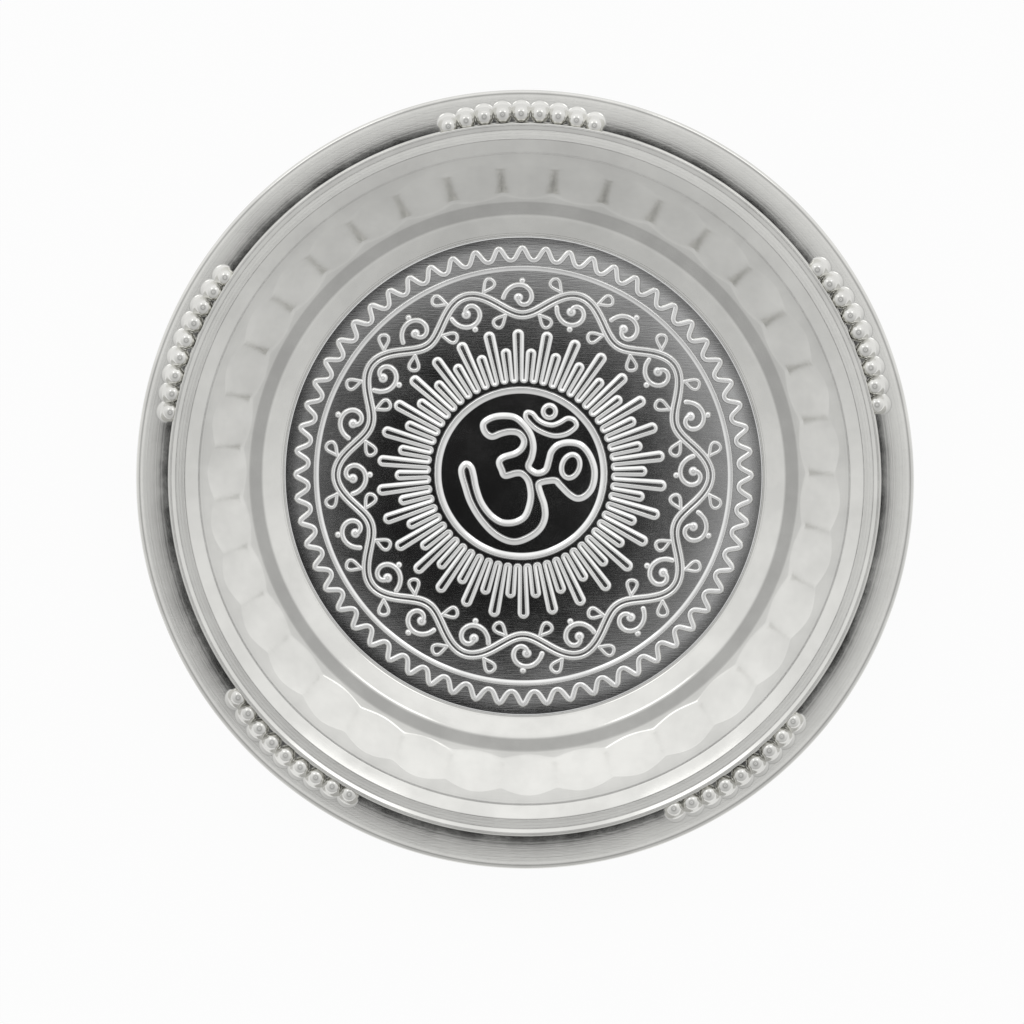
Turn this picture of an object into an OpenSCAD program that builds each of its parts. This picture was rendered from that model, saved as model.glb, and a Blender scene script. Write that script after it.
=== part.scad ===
// Round offering dish of thin steel sheet: a fluted well with an embossed floor disc,
// a stepped brim with bead rows, and an edge rolled round a wire.
// Origin: centre of the flat underside. +Z is up, +Y is the top of the emblem.
// The widths of the zones between the floor and the edge are seen from above. The zones
// share out their room in proportion to them, so beads and zones follow a wider dish.

/* [Dish] */
// Outside diameter over the rolled edge
dish_d = 170; // [150:0.5:190]
// Thickness of the sheet that the dish is pressed from
sheet_t = 0.6; // [0.4:0.05:0.8]
// Diameter of the flat floor of the well, as a share of the outside diameter
floor_share = 0.6318; // [0.62:0.0001:0.65]
// Width of the bevel round the floor
bevel_w = 3.9; // [2.9:0.1:5]
// Height of the bevel round the floor
bevel_h = 3.4; // [2:0.1:5]
// Width of the ledge above the bevel
ledge_w = 3; // [2:0.1:4]
// Rise of the ledge from its inner to its outer side
ledge_h = 0.7; // [0.3:0.1:1.2]

/* [Wall] */
// Width of the fluted wall
wall_w = 7.3; // [6.5:0.1:9]
// Height of the fluted wall
wall_h = 7.4; // [6.8:0.1:11]
// Number of flutes round the wall
flute_count = 35; // [28:1:42]
// Depth of a flute at its upper end
flute_depth = 0.65; // [0.5:0.05:0.9]
// Width of the sloping shoulder above the flutes
shoulder_w = 3.1; // [2.7:0.1:4]
// Rise of the shoulder
shoulder_h = 1.1; // [0.8:0.1:1.6]

/* [Rim] */
// Width of the bright collar inside the crest
collar_w = 2.7; // [2.3:0.1:4]
// Rise of the collar
collar_h = 1.8; // [1.2:0.1:2.4]
// Width of the crest, out to the step
crest_w = 3.6; // [3:0.1:4.4]
// Width of the brim, out to the outside of the rolled edge
brim_w = 7.7; // [7.4:0.1:8.4]
// Drop of the step from the crest to the brim
step_h = 2; // [1.5:0.1:2.6]
// Slope of the brim where it reaches the rolled edge, in degrees
brim_tilt = 3; // [1:1:12]
// Diameter of the rolled edge
curl_d = 3; // [2.4:0.1:3.4]
// Room round the wire inside the rolled edge
wire_clear = 0.05; // [0.03:0.01:0.1]

/* [Beads] */
// Number of beads in a row
bead_count = 9; // [5:1:11]
// Diameter of a bead
bead_d = 3.95; // [3:0.05:4]
// Distance between the middles of neighbouring beads
bead_pitch = 4.06; // [4.06:0.01:4.6]
// Radius of the arc of a row's beads, as a share of the row's distance from the axis
row_arc_share = 0.61; // [0.55:0.001:0.75]
// Gap between the middle bead of a row and the step
bead_gap = 0.3; // [0.2:0.05:0.6]
// Width of the strip that joins the beads of a row
strip_w = 1.4; // [0.8:0.1:2.4]
// Height of that strip above the brim
strip_h = 0.5; // [0.3:0.05:1]

/* [Floor disc] */
// Thickness of the embossed disc
disc_t = 0.5; // [0.4:0.05:0.8]
// Gap between the disc's edge and the foot of the bevel
disc_clear = 0.4; // [0.3:0.05:0.6]
// Height of the embossed lines above the disc
relief_h = 0.6; // [0.3:0.05:0.9]
// Sideways place of the emblem on the disc, as the die left it
emblem_x = -0.4; // [-0.8:0.05:0.8]
// Place of the emblem towards the top of the disc, as the die left it
emblem_y = 0.4; // [-0.8:0.05:0.8]

/* [Border] */
// Number of waves in the border line
wave_count = 60; // [48:1:66]
// Distance from the disc's edge to the middle of the wavy line
wave_inset = 4.1; // [3.6:0.1:4.6]
// Half height of the waves
wave_amp = 1.4; // [1:0.05:1.6]
// Extra sharpness of the waves' outer points
wave_peak = 0.2; // [0:0.02:0.3]
// Width of the wavy line
wave_line_w = 1.1; // [0.8:0.05:1.3]
// Distance from the disc's edge to the middle of the plain ring
ring_inset = 7.2; // [7:0.1:8]
// Width of the plain ring
ring_line_w = 1.1; // [0.8:0.05:1.4]

/* [Vine] */
// Number of scrolls in the vine band, half of them turning each way
scroll_count = 20; // [18:2:24]
// Half height of the vine's wave
vine_amp = 3; // [2.4:0.1:3.3]
// Width of the vine's stem over its two lines
stem_w = 1.9; // [1.5:0.05:2.1]
// Width of the groove along the stem
stem_groove_w = 0.4; // [0.25:0.05:0.6]
// Width of a tendril
tendril_line_w = 1.05; // [0.7:0.05:1.1]
// Radius of a tendril where it leaves the stem
tendril_r = 4.7; // [4:0.1:5]
// Radius of a tendril at its inner end
tendril_end_r = 0.9; // [0.7:0.05:1.1]
// Length of a leaf
leaf_l = 4; // [3:0.1:4.8]
// Width of a leaf
leaf_w = 2.4; // [1.8:0.1:2.6]
// Width of the line that draws a leaf
leaf_line_w = 0.65; // [0.5:0.05:0.8]

/* [Rays] */
// Number of rays, long and short by turns
ray_count = 60; // [48:2:64]
// Distance from the emblem ring's middle line to the roots of the rays
ray_gap = 2; // [1.6:0.1:2.6]
// Length of a long ray
ray_long = 11.4; // [10:0.1:12]
// Length of a short ray
ray_short = 7.1; // [6:0.1:9]
// Width of the line that draws the rays
ray_line_w = 0.8; // [0.6:0.05:0.9]

/* [Emblem] */
// Diameter of the emblem ring, to the middle of its line
emblem_d = 37; // [36:0.2:39]
// Width of the emblem ring's line
emblem_line_w = 1.7; // [1.2:0.1:2]
// Width of the line that draws the sign
sign_line_w = 1.45; // [1:0.05:1.55]
// Width of the line that draws the sign's crescent, dot and eye
small_line_w = 1.1; // [0.8:0.05:1.15]

/* [Hidden] */
$fn = 48;
// One overrun for every cut
over = 1;
// The full turn and a quarter of it, in degrees
turn_deg = 360;
quarter_deg = turn_deg / 4;
// Steps of the rounded corners, the brim, and the lines' turns
corner_steps = 4;
brim_steps = 8;
wave_steps = 8;
vine_steps = 12;
tendril_steps = 14;
leaf_steps = 12;
tip_steps = 4;
spline_steps = 2;
// Radii of the profile's corners, from the floor outwards
floor_round = 0.3;
bevel_round = 3;
ledge_round = 4;
wall_round = 0.4;
shoulder_round = 0.8;
collar_round = 2;
crest_round = 1.3;
foot_round = 0.25;
// Lean of the step's riser
riser_lean = 0.2;
// Height over the wall at which a flute's valley line starts
flute_lift = 0.12;
// Angle of each bead row's middle, counted from +X: the rows are unevenly spaced
row_angles = [23.4, 90.1, 157.9, 229.5, 306.3];
// Angle of the first long ray
first_ray_deg = 91;
// Tendril: angle where it leaves the stem, turn to its inner end, and how fast it winds in
tendril_from_deg = 25;
tendril_turn_deg = 400;
tendril_pull = 1.7;
// Shift of a tendril's middle across the stem, as a share of the vine's half height
scroll_drop_share = 0.2;
// Leaf: fullness, place along and across the vine, turn, and start of its hollow in line widths
leaf_full_share = 0.77;
leaf_place_share = 0.3;
leaf_rise_share = 0.85;
leaf_turn_deg = 48;
leaf_hollow_lines = 1.8;

dish_r = dish_d / 2;
floor_r = dish_r * floor_share;
// Scale that fits the zones' named widths to their room, for the beads as well
zone_fit = (dish_r - floor_r)
    / (bevel_w + ledge_w + wall_w + shoulder_w + collar_w + crest_w + brim_w);
curl_r = curl_d / 2;
wire_r = curl_r - sheet_t - wire_clear;
bead_r = bead_d * zone_fit / 2;
disc_r = floor_r - disc_clear;
disc_top = sheet_t + disc_t;
emblem_r = emblem_d / 2;
bevel_r = floor_r + bevel_w * zone_fit;
ledge_r = bevel_r + ledge_w * zone_fit;
wall_r = ledge_r + wall_w * zone_fit;
shoulder_r = wall_r + shoulder_w * zone_fit;
collar_r = shoulder_r + collar_w * zone_fit;
step_r = collar_r + crest_w * zone_fit;
bevel_z = sheet_t + bevel_h;
ledge_z = bevel_z + ledge_h;
wall_z = ledge_z + wall_h;
shoulder_z = wall_z + shoulder_h;
crest_z = shoulder_z + collar_h;
brim_z = crest_z - step_h;
brim_r = step_r + riser_lean;
// The brim falls along a parabola that meets the rolled edge on its slope
curl_mid_r = dish_r - curl_r;
brim_end_r = curl_mid_r + curl_r * sin(brim_tilt);
brim_run = brim_end_r - brim_r;
brim_drop = tan(brim_tilt) * brim_run / 2;
curl_z = brim_z - brim_drop - curl_r * cos(brim_tilt);
row_mid_r = step_r + bead_gap + bead_r;
row_arc_r = row_mid_r * row_arc_share;
row_centre_r = row_mid_r - row_arc_r;
wave_r = disc_r - wave_inset;
ring_r = disc_r - ring_inset;
ray_root_r = emblem_r + ray_gap;
vine_r = (ring_r - ring_line_w / 2 + ray_root_r + ray_long) / 2;

function unit(v) = v / norm(v);
function left_of(v) = [-v[1], v[0]];
function polar(r, a) = r * [cos(a), sin(a)];
function turned(p, a) = [p[0] * cos(a) - p[1] * sin(a), p[0] * sin(a) + p[1] * cos(a)];
function arc(c, r, a0, a1, n) = [for (i = [0:n]) c + polar(r, a0 + (a1 - a0) * i / n)];

// Corner p of an outline with neighbours a and b, rounded to radius r
function rounded(a, p, b, r) =
    let (
        u = unit(a - p),
        v = unit(b - p),
        half = acos(u * v) / 2,
        reach = r / tan(half),
        mid = p + unit(u + v) * r / sin(half),
        from = p + u * reach - mid,
        to = p + v * reach - mid,
        a0 = atan2(from[1], from[0]),
        sweep = atan2(from[0] * to[1] - from[1] * to[0], from * to)
    )
    arc(mid, r, a0, a0 + sweep, corner_steps);

// Upper side of the sheet from the axis to the step's foot: radius, height, corner radius
profile = [
    [0, sheet_t, 0],
    [floor_r, sheet_t, floor_round],
    [bevel_r, bevel_z, bevel_round],
    [ledge_r, ledge_z, ledge_round],
    [wall_r, wall_z, wall_round],
    [shoulder_r, shoulder_z, shoulder_round],
    [collar_r, crest_z, collar_round],
    [step_r, crest_z, crest_round],
    [brim_r, brim_z, foot_round],
];
function profile_point(i) = [profile[i][0], profile[i][1]];

// The brim's parabola, from beyond the step's foot to the rolled edge
brim_path = [for (i = [1:brim_steps])
    let (s = i / brim_steps) [brim_r + brim_run * s, brim_z - brim_drop * s * s]];

// Whole upper side, with its corners rounded
upper = concat(
    [profile_point(0)],
    [for (i = [1:len(profile) - 1])
        let (next = i < len(profile) - 1 ? profile_point(i + 1) : brim_path[0])
        each rounded(profile_point(i - 1), profile_point(i), next, profile[i][2])],
    brim_path);

// A path moved sideways by d along its own normals, its two ends held square
function shifted(p, d) = [for (i = [0:len(p) - 1])
    let (
        u = i > 0 ? unit(p[i] - p[i - 1]) : unit(p[1] - p[0]),
        v = i < len(p) - 1 ? unit(p[i + 1] - p[i]) : u,
        n = unit(left_of(u + v))
    )
    p[i] + n * d / (n * left_of(u))];

brim_end = polar(curl_r, quarter_deg - brim_tilt) + [curl_mid_r, curl_z];
brim_end_low = polar(curl_r - sheet_t, quarter_deg - brim_tilt) + [curl_mid_r, curl_z];
lower_all = shifted(upper, -sheet_t);
lower = concat([for (i = [0:len(lower_all) - 2]) lower_all[i]], [brim_end_low]);
blank_z = crest_z + dish_r;

// Everything above the underside of the sheet
module blank_body() {
    rotate_extrude($fn = 180)
        polygon(concat(lower, [brim_end, [brim_end_r, blank_z], [0, blank_z]]));
}

// Everything above the upper side of the sheet
module well_space() {
    rotate_extrude($fn = 180)
        polygon(concat(upper, [[dish_r + over, brim_end[1]], [dish_r + over, blank_z + over],
                               [0, blank_z + over]]));
}

// A flute is part of a cylinder that lies along the wall. Its valley runs out just above
// the wall's foot and is deepest at the top, where neighbouring flutes meet in a cusp.
wall_deg = atan2(wall_h, wall_r - ledge_r);
flute_half_w = wall_r * sin(turn_deg / flute_count / 2);
flute_r = (flute_half_w * flute_half_w + flute_depth * flute_depth) / (2 * flute_depth);
ledge_deg = atan2(ledge_h, ledge_r - bevel_r);
flute_foot = [ledge_r, ledge_z] + polar(ledge_round * tan((wall_deg - ledge_deg) / 2), wall_deg)
    - flute_lift * [sin(wall_deg), -cos(wall_deg)];
flute_top = [wall_r, wall_z] + flute_depth * [sin(wall_deg), -cos(wall_deg)];
flute_deg = atan2(flute_top[1] - flute_foot[1], flute_top[0] - flute_foot[0]);
flute_l = norm(flute_top - flute_foot) + shoulder_r - wall_r;

module flutes(r) {
    for (i = [0:flute_count - 1])
        rotate(quarter_deg + turn_deg * i / flute_count)
            translate([flute_foot[0], 0, flute_foot[1]])
                rotate([0, quarter_deg - flute_deg, 0])
                    translate([-flute_r, 0, 0])
                        cylinder(r = r, h = flute_l, $fn = 96);
}

module edge_ring(r) {
    rotate_extrude($fn = 180)
        translate([curl_mid_r, curl_z])
            circle(r = r);
}

module dish() {
    color("silver")
        difference() {
            union() {
                difference() {
                    union() {
                        blank_body();
                        flutes(flute_r + sheet_t);
                    }
                    well_space();
                    flutes(flute_r);
                }
                edge_ring(curl_r);
            }
            edge_ring(curl_r - sheet_t);
        }
}

module rim_wire() {
    color("gray")
        edge_ring(wire_r);
}

// The dish's metal round the step, solid down to below the brim, which beds the beads
module rim_bed() {
    low_z = brim_z - brim_drop - curl_d;
    rim_path = [for (p = upper) if (p[0] > collar_r) p];
    rotate_extrude($fn = 180)
        polygon(concat(rim_path, [[brim_end_r, low_z], [rim_path[0][0], low_z]]));
}

module bead_row(i) {
    bead_deg = 2 * asin(bead_pitch * zone_fit / 2 / row_arc_r);
    span_deg = bead_deg * (bead_count - 1);
    color("gainsboro")
        difference() {
            rotate(row_angles[i])
                translate([row_centre_r, 0, brim_z]) {
                    for (k = [0:bead_count - 1])
                        rotate(bead_deg * k - span_deg / 2)
                            translate([row_arc_r, 0, 0])
                                sphere(r = bead_r, $fn = 32);
                    rotate(-span_deg / 2)
                        rotate_extrude(angle = span_deg, $fn = 180)
                            translate([row_arc_r - strip_w / 2, -bead_r])
                                square([strip_w, bead_r + strip_h]);
                }
            rim_bed();
        }
}

// Normal of a path at point i, and the two sides of a line of width w along it
function path_normal(p, i, closed) =
    let (
        n = len(p),
        a = closed ? p[(i + n - 1) % n] : p[max(i - 1, 0)],
        b = closed ? p[(i + 1) % n] : p[min(i + 1, n - 1)]
    )
    left_of(unit(b - a));
function beside(p, d, closed) = [for (i = [0:len(p) - 1]) p[i] + d * path_normal(p, i, closed)];
function reversed(p) = [for (i = [len(p) - 1:-1:0]) p[i]];

module closed_line(p, w) {
    difference() {
        polygon(beside(p, -w / 2, true));
        polygon(beside(p, w / 2, true));
    }
}

module open_line(p, w) {
    polygon(concat(beside(p, w / 2, false), reversed(beside(p, -w / 2, false))));
    for (e = [p[0], p[len(p) - 1]])
        translate(e)
            circle(r = w / 2, $fn = 16);
}

module ring_line(r, w) {
    difference() {
        circle(r = r + w / 2, $fn = 180);
        circle(r = r - w / 2, $fn = 180);
    }
}

// Closed Catmull-Rom curve through the points
function spline_at(a, b, c, d, s) =
    (2 * b + (c - a) * s + (2 * a - 5 * b + 4 * c - d) * s * s
        + (3 * b - a - 3 * c + d) * s * s * s) / 2;
function closed_curve(p) = [for (i = [0:len(p) - 1]) for (k = [0:spline_steps - 1])
    let (n = len(p))
    spline_at(p[(i + n - 1) % n], p[i], p[(i + 1) % n], p[(i + 2) % n], k / spline_steps)];

// Wavy border line: the radius swings once a wave, with sharper outer points
module wave_border() {
    n = wave_count * wave_steps;
    closed_line([for (i = [0:n - 1])
        let (s = turn_deg * i / wave_steps)
        polar(wave_r + wave_amp * cos(s) + wave_peak * cos(2 * s), turn_deg * i / n)], wave_line_w);
    ring_line(ring_r, ring_line_w);
}

// Scrolls of the vine turn by turns inwards and outwards. Each tendril leaves the stem
// and winds in round its own middle, and a leaf fills the corner before it.
function vine_point(s) =
    polar(vine_r + vine_amp * cos(s * turn_deg / 2), s * turn_deg / scroll_count);
function coil(side) = [for (i = [0:tendril_steps])
    let (
        s = i / tendril_steps,
        a = tendril_from_deg - tendril_turn_deg * s,
        r = tendril_end_r + (tendril_r - tendril_end_r) * pow(1 - s, tendril_pull)
    )
    [side * (r * sin(a) - vine_amp * scroll_drop_share), r * cos(a)]];

module tendril(side) {
    open_line(coil(side), tendril_line_w);
    translate(coil(side)[tendril_steps])
        circle(r = tendril_end_r, $fn = 16);
}

function leaf_outline(l, w) = [for (i = [0:leaf_steps - 1])
    let (a = turn_deg * i / leaf_steps)
    [l / 2 * (1 - cos(a)), w / 2 * sin(a) * (1 - cos(a)) * leaf_full_share]];

module leaf() {
    hollow_l = leaf_l - leaf_line_w * (leaf_hollow_lines + 1);
    difference() {
        polygon(leaf_outline(leaf_l, leaf_w));
        translate([leaf_line_w * leaf_hollow_lines, 0])
            polygon(leaf_outline(hollow_l, leaf_w - 2 * leaf_line_w));
    }
}

module vine() {
    n = scroll_count * vine_steps / 2;
    stem = [for (i = [0:n - 1]) vine_point(2 * i / vine_steps)];
    difference() {
        union() {
            closed_line(stem, stem_w);
            for (k = [0:scroll_count - 1])
                rotate(turn_deg * k / scroll_count)
                    translate([vine_r, 0])
                        tendril(k % 2 == 0 ? 1 : -1);
        }
        closed_line(stem, stem_groove_w);
    }
    for (k = [0:scroll_count - 1], t = [1, -1]) {
        side = k % 2 == 0 ? 1 : -1;
        rotate(turn_deg * (k + t * leaf_place_share) / scroll_count)
            translate([vine_r + side * vine_amp * leaf_rise_share, 0])
                rotate(quarter_deg - side * (quarter_deg - t * leaf_turn_deg))
                    leaf();
    }
}

// Rays: one endless line runs out and back along every ray, a quarter of the pitch
// either side of its middle, and turns round between the roots
strand_deg = turn_deg / ray_count / 4;
function ray_loop(k) =
    let (
        a = first_ray_deg + turn_deg * k / ray_count,
        tip_r = ray_root_r + (k % 2 == 0 ? ray_long : ray_short),
        tip_turn_r = tip_r * sin(strand_deg),
        root_turn_r = ray_root_r * sin(strand_deg)
    )
    concat(
        [for (p = arc([tip_r - tip_turn_r, 0], tip_turn_r, -quarter_deg, quarter_deg, tip_steps))
            turned(p, a)],
        [for (p = arc([ray_root_r + root_turn_r, 0], root_turn_r, -quarter_deg, -3 * quarter_deg,
                      tip_steps))
            turned(p, a + 2 * strand_deg)]);

module rays() {
    closed_line([for (k = [0:ray_count - 1]) each ray_loop(k)], ray_line_w);
}

// Outline of the traditional om sign, as shares of the emblem ring's radius
sign_outline_shares = [
    [-0.45, 0.54], [-0.41, 0.47], [-0.34, 0.44], [-0.23, 0.48], [-0.12, 0.5], [-0.02, 0.48],
    [0.04, 0.4], [0.02, 0.31], [-0.06, 0.24], [-0.21, 0.19], [-0.26, 0.13], [-0.23, 0.04],
    [-0.19, -0.03], [-0.06, -0], [0.02, -0.01], [0.09, -0.09], [0.12, -0.23], [0.11, -0.36],
    [0.06, -0.5], [-0.02, -0.57], [-0.14, -0.6], [-0.26, -0.58], [-0.38, -0.49], [-0.48, -0.35],
    [-0.54, -0.18], [-0.57, -0.03], [-0.6, 0.07], [-0.66, 0.11], [-0.71, 0.06], [-0.71, -0.02],
    [-0.67, -0.16], [-0.61, -0.34], [-0.5, -0.53], [-0.35, -0.7], [-0.19, -0.8], [-0.04, -0.82],
    [0.13, -0.75], [0.24, -0.65], [0.29, -0.52], [0.28, -0.38], [0.24, -0.26], [0.21, -0.15],
    [0.24, -0.11], [0.33, -0.09], [0.42, -0.09], [0.48, -0.15], [0.58, -0.25], [0.67, -0.3],
    [0.76, -0.28], [0.84, -0.2], [0.88, -0.08], [0.88, 0.07], [0.82, 0.23], [0.72, 0.34],
    [0.58, 0.37], [0.45, 0.34], [0.37, 0.26], [0.34, 0.16], [0.3, 0.04], [0.21, -0],
    [0.13, 0.03], [0.09, 0.09], [0.13, 0.19], [0.15, 0.32], [0.12, 0.46], [0.04, 0.58],
    [-0.07, 0.67], [-0.21, 0.69], [-0.34, 0.67], [-0.44, 0.61],
];
crescent_outline_shares = [
    [0.06, 0.67], [0.11, 0.6], [0.19, 0.53], [0.29, 0.48], [0.4, 0.45], [0.51, 0.46],
    [0.6, 0.5], [0.67, 0.57], [0.64, 0.64], [0.56, 0.66], [0.47, 0.61], [0.38, 0.58],
    [0.28, 0.6], [0.2, 0.65], [0.14, 0.72], [0.07, 0.73],
];
eye_place_shares = [0.6, 0.085];
eye_size_shares = [0.105, 0.145];
eye_turn_deg = -20;
dot_place_shares = [0.345, 0.742];
dot_r_share = 0.075;

module sign() {
    closed_line(closed_curve(sign_outline_shares * emblem_r), sign_line_w);
    closed_line(closed_curve(crescent_outline_shares * emblem_r), small_line_w);
    eye = [for (i = [0:leaf_steps * 2 - 1])
        let (a = turn_deg / 2 * i / leaf_steps)
        turned([eye_size_shares[0] * cos(a), eye_size_shares[1] * sin(a)] * emblem_r, eye_turn_deg)
            + eye_place_shares * emblem_r];
    closed_line(eye, small_line_w);
    translate(dot_place_shares * emblem_r)
        ring_line(dot_r_share * emblem_r, small_line_w);
}

module floor_disc() {
    color("darkgray") {
        translate([0, 0, sheet_t])
            cylinder(r = disc_r, h = disc_t, $fn = 180);
        translate([0, 0, disc_top - disc_t / 2])
            linear_extrude(height = disc_t / 2 + relief_h) {
                wave_border();
                vine();
                translate([emblem_x, emblem_y]) {
                    rays();
                    ring_line(emblem_r, emblem_line_w);
                    sign();
                }
            }
    }
}

dish();
rim_wire();
floor_disc();
bead_row(0);  // bead_row_1
bead_row(1);  // bead_row_2
bead_row(2);  // bead_row_3
bead_row(3);  // bead_row_4
bead_row(4);  // bead_row_5
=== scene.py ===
"""Steel offering dish: a fluted well with an embossed floor disc, a stepped brim with rows of beads
and a rolled edge.

Shapes are worked out in millimetres in the solid model's frame: the origin is the middle of the
underside, Z is up, and Y points to the top of the sign.
"""

import math

import bpy
import numpy as np
from bpy.props import FloatProperty, FloatVectorProperty, IntProperty, PointerProperty
from mathutils import Matrix, Vector


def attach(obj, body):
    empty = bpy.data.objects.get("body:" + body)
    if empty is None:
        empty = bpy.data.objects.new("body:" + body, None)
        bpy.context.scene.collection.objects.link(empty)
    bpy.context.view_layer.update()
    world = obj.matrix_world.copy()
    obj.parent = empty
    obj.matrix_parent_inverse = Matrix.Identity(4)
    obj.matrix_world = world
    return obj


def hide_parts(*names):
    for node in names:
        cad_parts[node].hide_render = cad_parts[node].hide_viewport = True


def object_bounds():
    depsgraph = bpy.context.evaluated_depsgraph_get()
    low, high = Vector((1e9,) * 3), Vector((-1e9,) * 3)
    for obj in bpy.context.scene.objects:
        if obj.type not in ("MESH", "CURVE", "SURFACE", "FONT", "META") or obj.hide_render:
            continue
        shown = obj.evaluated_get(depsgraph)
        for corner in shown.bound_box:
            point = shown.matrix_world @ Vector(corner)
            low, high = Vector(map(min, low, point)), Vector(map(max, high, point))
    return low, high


bl_info = {
    "name": "Steel Offering Dish",
    "version": (1, 0, 0),
    "blender": (4, 5, 0),
    "location": "3D View > Sidebar > Dish",
    "description": "Builds an embossed steel offering dish around its solid model",
    "category": "Add Mesh",
}

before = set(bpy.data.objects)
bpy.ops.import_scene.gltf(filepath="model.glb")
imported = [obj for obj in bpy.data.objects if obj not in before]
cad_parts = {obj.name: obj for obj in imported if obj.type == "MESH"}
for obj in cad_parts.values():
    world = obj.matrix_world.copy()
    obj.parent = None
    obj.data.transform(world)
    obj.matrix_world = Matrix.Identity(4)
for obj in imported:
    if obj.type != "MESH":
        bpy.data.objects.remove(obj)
CAD_BOX = [list(corner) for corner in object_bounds()]
CAD_WIDTH = CAD_BOX[1][0] - CAD_BOX[0][0]
CAD_HEIGHT = CAD_BOX[1][2] - CAD_BOX[0][2]
MM = 0.001

# Section of the sheet's upper side, from the floor out to the rolled edge
SHEET_T = 0.6
FLOOR_R = 53.7
BEVEL_R, BEVEL_Z = 57.6, 4.0
LEDGE_R, LEDGE_Z = 60.6, 4.7
FLUTE_FOOT_R, FLUTE_FOOT_SLOPE = 61.6, 0.42
FLUTE_BREADTH = 0.55
FLUTE_TURN, FLUTE_DRIFT_X, FLUTE_DRIFT_Y = 0.045, 0.012, 0.026
WALL_R, WALL_Z = 67.9, 11.2
SHOULDER_R, SHOULDER_Z = 71.25, 12.65
COLLAR_R, COLLAR_Z = 73.8, 14.55
LIP_FOOT_R, LIP_FOOT_Z = 76.0, 14.49
LIP_R, CREST_Z = 76.8, 15.0
STEP_R, STEP_Z = 77.4, 14.95
BRIM_R, BRIM_Z = 77.6, 12.75
BRIM_FLARE, BRIM_RISE, BRIM_SPAN = 0.055, 0.026, 18
CURL_R = 1.5
CURL_MID_R = 83.5
CURL_POWER = 0.62

# The well's mesh ends and the rim's starts at this share of the way along the shoulder
SEAM_SHARE = 0.85

# Roundings of the corners, on the upper side and all along the lower side
FLOOR_ROUND, BEVEL_ROUND, LEDGE_ROUND, FOOT_ROUND, CREASE_ROUND = 1.2, 3.0, 4.0, 2.5, 0.2
CREST_ROUND, STEP_ROUND, BRIM_ROUND = 0.5, 0.3, 0.2
UNDER_ROUNDS = (0.9, 2.4, 4.4, 3.0, 0.1, 0.2, 0.2, 0.3, 0.2, 0.2, 0.5)

# Floor disc
DISC_R = 53.3
DISC_Z = 1.1
DISC_FLAT_R = 50
DISC_EDGE_RISE = 0.025
DISC_EDGE_ROUND = 0.12
DISC_GAP = 0.01
EMBLEM_AT = np.array([-0.4, 0.4])
EMBLEM_R = 18.5
WAVE_R, WAVE_SWING, WAVE_PEAK = 49.2, 1.4, 0.2
RING_R = 46.1
VINE_R, VINE_SWING, STEM_HALF_GAP = 38.725, 3, 0.62
COIL_R, COIL_END_R = 3.8, 0.9
RAY_ROOT_R = 20.5
RAY_REACHES = (11.4, 7.1)
RAY_TURN = math.radians(91)
SINK = 0.02
PEAK_POWER = 2.2

# Beads
ROW_ANGLES = (23.4, 90.1, 157.9, 229.5, 306.3)
ROW_ARC_R = 48.541
ROW_MID_R = 79.575
BEAD_PITCH = 4.07
BEAD_Z = 13.0
BEAD_COLUMNS = 32
SKIRT_SLOPE = math.radians(36)
SKIRT_REACH = 1.75
BEAD_SINK = 0.03
STRIP_W, STRIP_H = 1.4, 0.5

COLUMNS_PER_FLUTE = 40

# Floor: half its width, its depth under the dish in metres, and the share that glows
FLOOR_HALF = 1.5
FLOOR_DROP = 0.00005
FLOOR_GLOW = 0.93

# Light tent: the direction and level of its dark spot, and then three zones, each with the angles
# from the spot in degrees over which it takes over, and its level: a bright ring round the spot, a
# dim part overhead and the walls. The tent gets brighter to the top side by the lean.
TENT_SPOT = (-0.013, -0.047, 1)
SPOT_LEVEL = 0.015
TENT_ZONES = ((3, 7.5, 0.9), (12, 18, 0.5), (24, 50, 0.85))
TENT_LEAN = 0.3

# Lamps: directions in degrees, distance out and height in metres
LAMPS = (("lamp_right", 58), ("lamp_left", 122))
LAMP_OUT, LAMP_UP, LAMP_SIZE = 0.69, 0.58, 0.26

# Camera: the level of the picture's width, the width, the camera's place and its direction
EDGE_Z = 11.42
PICTURE_WIDTH = 0.2249
CAMERA_AT = (0.00221, 0.02458)
CAMERA_BACK = (0.0454, -0.0386, 1)
CAMERA_SHIFT = (0.099, -0.2449)

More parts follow.
